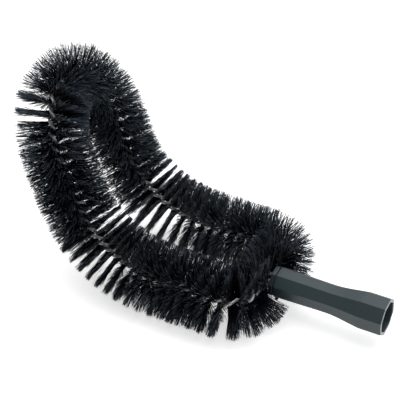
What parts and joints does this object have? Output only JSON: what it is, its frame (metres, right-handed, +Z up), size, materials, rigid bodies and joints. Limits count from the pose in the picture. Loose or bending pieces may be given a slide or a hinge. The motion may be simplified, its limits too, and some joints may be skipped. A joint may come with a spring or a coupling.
{
  "type": "pipe duster",
  "caption": "Pipe duster: a long twisted-wire brush loop that sweeps upwards, held in a faceted socket whose flared mouth takes a pole.",
  "frame": {"origin": "middle of the footprint, on the surface that the flat stretch of bristles rests on", "axes": "+X along the socket's axis towards its open mouth, +Y across the loop, +Z up, the way the loop sweeps"},
  "size_m": [0.3404, 0.1582, 0.2044],
  "materials": {
    "socket_plastic": "moulded, satin, dark slate grey",
    "plug_plastic": "moulded, satin, dark slate grey",
    "core_wire": "galvanised, drawn and twisted",
    "bristle_filament": "extruded filament, near black, slight sheen"
  },
  "bodies": {
    "root": {"pole_socket": "socket_plastic", "end_plug": "plug_plastic", "core_wire_a": "core_wire", "core_wire_b": "core_wire", "bristles_01": "bristle_filament", "bristles_02": "bristle_filament", "bristles_03": "bristle_filament", "bristles_04": "bristle_filament", "bristles_05": "bristle_filament", "bristles_06": "bristle_filament", "bristles_07": "bristle_filament", "bristles_08": "bristle_filament", "bristles_09": "bristle_filament", "bristles_10": "bristle_filament", "bristles_11": "bristle_filament", "bristles_12": "bristle_filament", "bristles_13": "bristle_filament", "bristles_14": "bristle_filament", "bristles_15": "bristle_filament", "bristles_16": "bristle_filament", "bristles_17": "bristle_filament", "bristles_18": "bristle_filament", "bristles_19": "bristle_filament", "bristles_20": "bristle_filament", "bristles_21": "bristle_filament", "bristles_22": "bristle_filament", "bristles_23": "bristle_filament", "bristles_24": "bristle_filament", "bristles_25": "bristle_filament", "bristles_26": "bristle_filament", "bristles_27": "bristle_filament", "bristles_28": "bristle_filament", "bristles_29": "bristle_filament", "bristles_30": "bristle_filament", "bristles_31": "bristle_filament", "bristles_32": "bristle_filament", "bristles_33": "bristle_filament", "bristles_34": "bristle_filament", "bristles_35": "bristle_filament", "bristles_36": "bristle_filament", "bristles_37": "bristle_filament", "bristles_38": "bristle_filament", "bristles_39": "bristle_filament", "bristles_40": "bristle_filament"}
  },
  "joints": []
}
